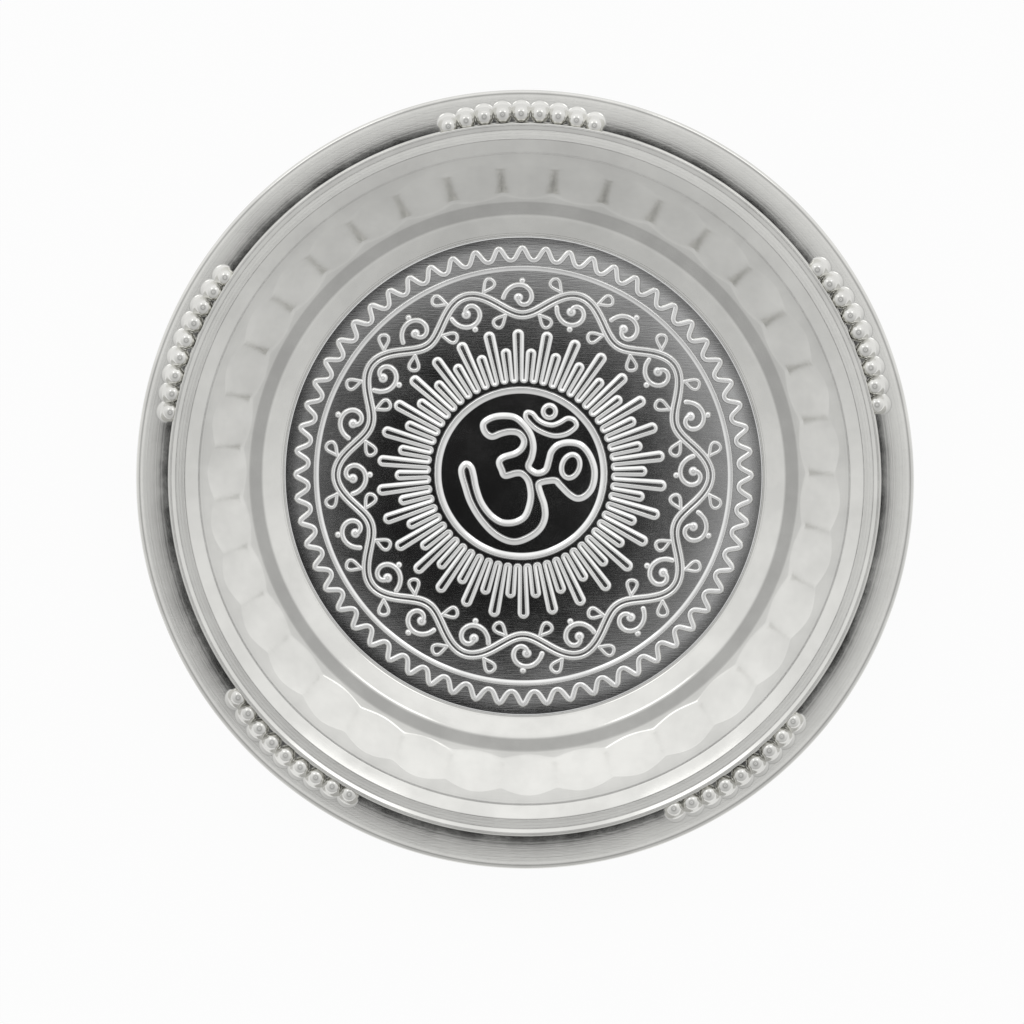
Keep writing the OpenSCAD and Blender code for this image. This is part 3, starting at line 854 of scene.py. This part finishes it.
class StageLook(bpy.types.PropertyGroup):
    """Light, floor and camera."""

    floor_colour: FloatVectorProperty(
        name="Floor", description="Colour of the floor",
        default=(0.9, 0.9, 0.9), min=0, max=1, subtype="COLOR",
    )
    sky_level: FloatProperty(
        name="Tent level", description="Brightness of the light tent round the dish",
        default=1.0, min=0, max=3,
    )
    lamp_power: FloatProperty(
        name="Lamp power", description="Power of each of the two soft lamps beyond the top edge",
        default=0.13, min=0, max=50, subtype="POWER",
    )
    camera_height: FloatProperty(
        name="Camera height", description="Height of the camera over the rolled edge",
        default=0.5886, min=0.2, max=3, unit="LENGTH",
    )


# Pieces


class DISH_OT_well(bpy.types.Operator):
    """Build the upper side of the well: floor edge, bevel, ledge, flutes and shoulder"""

    bl_idname = "dish.well"
    bl_label = "Well"

    def execute(self, context):
        look = context.scene.dish_look
        angles = closed_angles(look.flute_count * COLUMNS_PER_FLUTE)
        points, faces = turned(well_section(angles, look), angles, start=SHEET_T)
        colour, rough = look.steel_colour, look.polish
        material = steel("well_steel", colour, rough, turned=0.08, waviness=0.06, scratches=0.05)
        make_piece("dish_well", points, faces, material, ["dish"])
        return {"FINISHED"}


class DISH_OT_rim(bpy.types.Operator):
    """Build the collar, crest, step, brim and rolled edge"""

    bl_idname = "dish.rim"
    bl_label = "Rim"

    def execute(self, context):
        look = context.scene.dish_look
        angles = closed_angles(look.flute_count * COLUMNS_PER_FLUTE)
        colour = look.steel_colour
        collar = steel("collar_steel", colour, look.polish * 1.2, turned=0.07, scratches=0.05)
        brim = steel("brim_steel", colour, look.polish, turned=0.05, scratches=0.05)
        for name, section, material in (
            ("dish_collar", collar_section(angles), collar),
            ("dish_brim", edge_section(angles), brim),
        ):
            points, faces = turned(section, angles)
            make_piece(name, points, faces, material, ["dish"])
        return {"FINISHED"}


class DISH_OT_underside(bpy.types.Operator):
    """Build the lower side of the sheet and finish the wire in the rolled edge"""

    bl_idname = "dish.underside"
    bl_label = "Underside and wire"

    def execute(self, context):
        look = context.scene.dish_look
        angles = closed_angles(look.flute_count * COLUMNS_PER_FLUTE // 2)
        points, faces = turned(underside_section(angles, look), angles, end=0)
        colour = look.steel_colour
        material = steel("underside_steel", colour, look.satin, turned=0.35, scratches=0.2)
        make_piece("dish_underside", points, faces, material, ["dish"])
        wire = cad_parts["rim_wire"]
        wire.data.materials.clear()
        wire.data.materials.append(steel("wire_steel", look.wire_colour, 0.35, scratches=0.3))
        return {"FINISHED"}


class DISH_OT_disc(bpy.types.Operator):
    """Build the floor disc's plate"""

    bl_idname = "dish.disc"
    bl_label = "Floor disc"

    def execute(self, context):
        look = context.scene.dish_look
        angles = closed_angles(360)
        section = all_round(disc_section(), len(angles))
        points, faces = turned(section, angles, start=DISC_Z, end=SHEET_T + DISC_GAP)
        colour, rough = look.disc_colour, look.polish * 0.5
        material = steel("disc_steel", colour, rough, waviness=0.03, scratches=0.06, painted_shade=0.25)
        # No painted shade on the plate itself
        unshaded = np.zeros(len(points))
        make_piece("floor_plate", points, faces, material, ["floor_disc"], unshaded)
        return {"FINISHED"}


class DISH_OT_border(bpy.types.Operator):
    """Build the disc's wavy border line and plain ring"""

    bl_idname = "dish.border"
    bl_label = "Border"

    def execute(self, context):
        look = context.scene.dish_look
        rise = look.relief_height / MM
        angles = closed_angles(look.wave_count * 24)
        phase = look.wave_count * angles
        uneven = waver(len(angles), 3, 0.05)
        radius = WAVE_R + WAVE_SWING * np.cos(phase) + WAVE_PEAK * np.cos(2 * phase) + uneven
        wave = ridge(polar(radius, angles), 1.4, rise * 0.9)
        angles = closed_angles(720)
        ring = ridge(polar(RING_R + waver(720, 5, 0.02), angles), 1.35, rise * 0.9, lean=-0.45)
        make_relief("border", [wave, ring])
        return {"FINISHED"}


class DISH_OT_vine(bpy.types.Operator):
    """Build the vine band: a stem of two lines, tendrils with buds, and leaves"""

    bl_idname = "dish.vine"
    bl_label = "Vine"

    def execute(self, context):
        look = context.scene.dish_look
        rise = look.relief_height / MM
        count = look.scroll_count
        pitch = 2 * math.pi / count
        angles = closed_angles(count * 36)
        stem = polar(VINE_R + VINE_SWING * np.cos(angles * count / 2), angles)
        gap = path_sides(stem, True) * STEM_HALF_GAP
        parts = [ridge(line, 1.1, rise, across=9) for line in (stem - gap, stem + gap)]
        share = np.linspace(0, 1, 44)
        turn = np.radians(25 - 400 * share)
        reach = COIL_END_R + COIL_R * (1 - share) ** 1.7
        swing = np.linspace(0, 2 * math.pi, 28, endpoint=False)
        swell = 1 - np.cos(swing)
        leaf = np.stack([1.8 * swell + 0.32, 1.1 * 0.77 * np.sin(swing) * swell], axis=-1)
        for k in range(count):
            side = 1 if k % 2 == 0 else -1
            out = VINE_R + side * (reach * np.sin(turn) - 0.6)
            coil = spun(np.stack([out, reach * np.cos(turn)], axis=-1), pitch * k)
            parts.append(ridge(coil[3:], 1.35, rise, closed=False, across=9))
            parts.append(dome(coil[-1], 1.15, rise * 1.05))
            parts.append(dome(polar(VINE_R - side * 4.6, pitch * k), 0.8, rise))
            for way in (1, -1):
                placed = spun(leaf, math.radians(90 - side * (90 - way * 48)))
                placed = spun(placed + [VINE_R + side * 2.55, 0], pitch * (k + way * 0.3))
                parts.append(ridge(placed, 1.0, rise * 0.95, across=7))
        make_relief("vine", parts)
        return {"FINISHED"}


class DISH_OT_rays(bpy.types.Operator):
    """Build the rays as one endless line that runs out and back along every ray"""

    bl_idname = "dish.rays"
    bl_label = "Rays"

    def execute(self, context):
        look = context.scene.dish_look
        rise = look.relief_height / MM
        count = look.ray_count
        strand = math.pi / count / 2
        k = np.arange(count)[:, None]
        unevenness = np.random.default_rng(11).uniform(-0.25, 0.25, (count, 1))
        tip = RAY_ROOT_R + np.where(k % 2 == 0, *RAY_REACHES) + unevenness
        tip_turn = tip * math.sin(strand)
        root_turn = RAY_ROOT_R * math.sin(strand)
        out = np.radians(np.linspace(-90, 90, 9))
        back = np.radians(np.linspace(-90, -270, 9))
        middle = RAY_TURN + 2 * math.pi * k / count
        tips = polar(tip_turn, out) + np.stack([tip - tip_turn, 0 * tip], axis=-1)
        tips = spun(tips, middle)
        roots = spun(polar(root_turn, back) + [RAY_ROOT_R + root_turn, 0], middle + 2 * strand)
        share = np.array([0.25, 0.5, 0.75])[:, None]
        inward = tips[:, -1:] + (roots[:, :1] - tips[:, -1:]) * share
        next_tip = np.roll(tips[:, :1], -1, axis=0)
        outward = roots[:, -1:] + (next_tip - roots[:, -1:]) * share
        path = np.concatenate([tips, inward, roots, outward], axis=1).reshape(-1, 2)
        make_relief("rays", [ridge(path + EMBLEM_AT, 1.06, rise, lean=0.45)])
        return {"FINISHED"}


class DISH_OT_emblem(bpy.types.Operator):
    """Build the ring and the traditional sign in the middle of the disc"""

    bl_idname = "dish.emblem"
    bl_label = "Emblem"

    def execute(self, context):
        look = context.scene.dish_look
        rise = look.relief_height / MM
        ring = polar(EMBLEM_R + waver(720, 7, 0.02), closed_angles(720)) + EMBLEM_AT
        sign = smooth_curve(SIGN_OUTLINE, 6) * EMBLEM_R + EMBLEM_AT
        crescent = smooth_curve(CRESCENT_OUTLINE, 6) * EMBLEM_R + EMBLEM_AT
        eye = spun(polar(1.0, closed_angles(48)) * EYE_RADII, EYE_TURN) + EYE_AT
        dot = polar(DOT_R, closed_angles(36)) + DOT_AT
        parts = [
            ridge(ring, 1.7, rise * 1.1, lean=-0.45, across=13),
            ridge(sign, 1.6, rise * 1.1, lean=0.45, across=13),
            ridge(crescent, 1.25, rise, lean=0.3),
            ridge(eye * EMBLEM_R + EMBLEM_AT, 1.3, rise, lean=0.3),
            ridge(dot * EMBLEM_R + EMBLEM_AT, 1.25, rise, lean=0.3),
        ]
        make_relief("emblem", parts)
        return {"FINISHED"}


class DISH_OT_beads(bpy.types.Operator):
    """Build the rows of beads on the brim"""

    bl_idname = "dish.beads"
    bl_label = "Bead rows"

    def execute(self, context):
        look = context.scene.dish_look
        colour, rough = look.steel_colour, look.polish * 0.8
        # Beads and their strip carry painted shade at their feet
        material = steel("bead_steel", colour, rough, scratches=0.1, painted_shade=0.7)
        for number, angle in enumerate(ROW_ANGLES, start=1):
            points, faces, painted_shade = bead_row(number, math.radians(angle), look)
            nodes = [f"bead_row_{number}"]
            make_piece(f"beads_{number}", points, faces, material, nodes, painted_shade)
        return {"FINISHED"}


class DISH_OT_stage(bpy.types.Operator):
    """Set the floor, the light tent, the lamps and the camera"""

    bl_idname = "dish.stage"
    bl_label = "Stage"

    def execute(self, context):
        stage = context.scene.stage_look
        self.floor(stage)
        self.tent(context.scene, stage)
        self.lamps(stage)
        self.camera(context.scene, stage)
        context.scene.view_settings.view_transform = "Standard"
        return {"FINISHED"}

    def floor(self, stage):
        """A flat pale sheet just under the dish. It glows evenly for the camera and in mirror
        images, apart from a small share that stays matt and takes the shadow.
        """
        material = bpy.data.materials.new("floor_white")
        material.use_nodes = True
        nodes = Nodes(material.node_tree)
        matt = nodes.add("ShaderNodeBsdfDiffuse", {"Color": (*stage.floor_colour, 1)})
        glow = nodes.add("ShaderNodeEmission", {"Color": (1, 1, 1, 1), "Strength": 1.0})
        path = nodes.add("ShaderNodeLightPath")
        seen = nodes.maths("MAXIMUM", path.outputs["Is Camera Ray"], path.outputs["Is Glossy Ray"])
        share = nodes.maths("MULTIPLY", seen, FLOOR_GLOW)
        inputs = {0: share, 1: matt.outputs[0], 2: glow.outputs[0]}
        mixed = nodes.add("ShaderNodeMixShader", inputs)
        nodes.add("ShaderNodeOutputMaterial", {"Surface": mixed.outputs[0]})
        mesh = bpy.data.meshes.new("floor")
        side = np.linspace(-FLOOR_HALF, FLOOR_HALF, 9)
        x, y = np.meshgrid(side, side, indexing="ij")
        points = np.stack([x, y, np.full_like(x, -FLOOR_DROP)], axis=-1).reshape(-1, 3)
        mesh.from_pydata(points.tolist(), [], grid_quads(9, 9)[:, ::-1].tolist())
        mesh.materials.append(material)
        floor = bpy.data.objects.new("floor", mesh)
        bpy.context.scene.collection.objects.link(floor)

    def tent(self, scene, stage):
        """Light tent: a dark spot, where the camera looks through, and zones round it, each with
        one level and a soft start. The photographer stands on the lower side and takes light away
        there, so the level is raised evenly towards the top side.
        """
        world = bpy.data.worlds.new("light_tent")
        scene.world = world
        world.use_nodes = True
        nodes = Nodes(world.node_tree)
        way = nodes.add("ShaderNodeTexCoord").outputs["Generated"]
        inputs = {0: way, 1: Vector(TENT_SPOT).normalized()}
        apart = nodes.add("ShaderNodeVectorMath", inputs, operation="DOT_PRODUCT").outputs["Value"]
        apart = nodes.maths("MULTIPLY", nodes.maths("ARCCOSINE", apart), 180 / math.pi)
        level, before = SPOT_LEVEL, SPOT_LEVEL
        for start, end, value in TENT_ZONES:
            share = nodes.ramp(apart, start, end, 0.0, 1.0, interpolation_type="SMOOTHSTEP")
            level = nodes.maths("MULTIPLY_ADD", share, value - before, level)
            before = value
        upward = nodes.add("ShaderNodeSeparateXYZ", {0: way}).outputs["Y"]
        level = nodes.maths("MULTIPLY", level, nodes.maths("MULTIPLY_ADD", upward, TENT_LEAN, 1.0))
        sky = nodes.add("ShaderNodeBackground", {"Color": level, "Strength": stage.sky_level})
        nodes.add("ShaderNodeOutputWorld", {"Surface": sky.outputs[0]})

    def lamps(self, stage):
        """Two soft lamps beyond the top edge, halfway up on the left and on the right."""
        for name, turn in LAMPS:
            data = bpy.data.lights.new(name, "AREA")
            data.size = LAMP_SIZE
            data.energy = stage.lamp_power
            lamp = bpy.data.objects.new(name, data)
            place = Vector((*polar(LAMP_OUT, math.radians(turn)), LAMP_UP))
            lamp.location = place
            lamp.rotation_euler = (-place).to_track_quat("-Z", "Y").to_euler()
            bpy.context.scene.collection.objects.link(lamp)

    def camera(self, scene, stage):
        """Camera over the dish. It looks a little to the top left and is shifted back on to the
        dish, and its lens gives the picture's width at the rolled edge's height.
        """
        data = bpy.data.cameras.new("camera")
        camera = bpy.data.objects.new("camera", data)
        place = Vector((*CAMERA_AT, EDGE_Z * MM + stage.camera_height))
        data.lens = data.sensor_width * stage.camera_height / PICTURE_WIDTH
        data.shift_x, data.shift_y = CAMERA_SHIFT
        back = Vector(CAMERA_BACK).normalized()
        right = Vector((0, 1, 0)).cross(back).normalized()
        turn = Matrix((right, back.cross(right), back)).transposed()
        camera.matrix_world = Matrix.Translation(place) @ turn.to_4x4()
        scene.collection.objects.link(camera)
        scene.camera = camera


class DISH_PT_panel(bpy.types.Panel):
    """Buttons that build the dish, with its sizes"""

    bl_idname = "DISH_PT_panel"
    bl_label = "Offering Dish"
    bl_space_type = "VIEW_3D"
    bl_region_type = "UI"
    bl_category = "Dish"

    def draw(self, context):
        layout = self.layout
        for group in (context.scene.dish_look, context.scene.stage_look):
            box = layout.box()
            for name in group.bl_rna.properties.keys():
                if name not in ("rna_type", "name"):
                    box.prop(group, name)
        for operator in OPERATORS:
            layout.operator(operator.bl_idname)


OPERATORS = (
    DISH_OT_well, DISH_OT_rim, DISH_OT_underside, DISH_OT_disc, DISH_OT_border,
    DISH_OT_vine, DISH_OT_rays, DISH_OT_emblem, DISH_OT_beads, DISH_OT_stage,
)
CLASSES = (DishLook, StageLook, *OPERATORS, DISH_PT_panel)


def register():
    for cls in CLASSES:
        bpy.utils.register_class(cls)
    bpy.types.Scene.dish_look = PointerProperty(type=DishLook)
    bpy.types.Scene.stage_look = PointerProperty(type=StageLook)


def unregister():
    del bpy.types.Scene.stage_look
    del bpy.types.Scene.dish_look
    for cls in reversed(CLASSES):
        bpy.utils.unregister_class(cls)


def main():
    """Builds every piece and the stage in order."""
    register()
    bpy.ops.dish.well()
    bpy.ops.dish.rim()
    bpy.ops.dish.underside()
    bpy.ops.dish.disc()
    bpy.ops.dish.border()
    bpy.ops.dish.vine()
    bpy.ops.dish.rays()
    bpy.ops.dish.emblem()
    bpy.ops.dish.beads()
    bpy.ops.dish.stage()


if __name__ == "__main__":
    main()
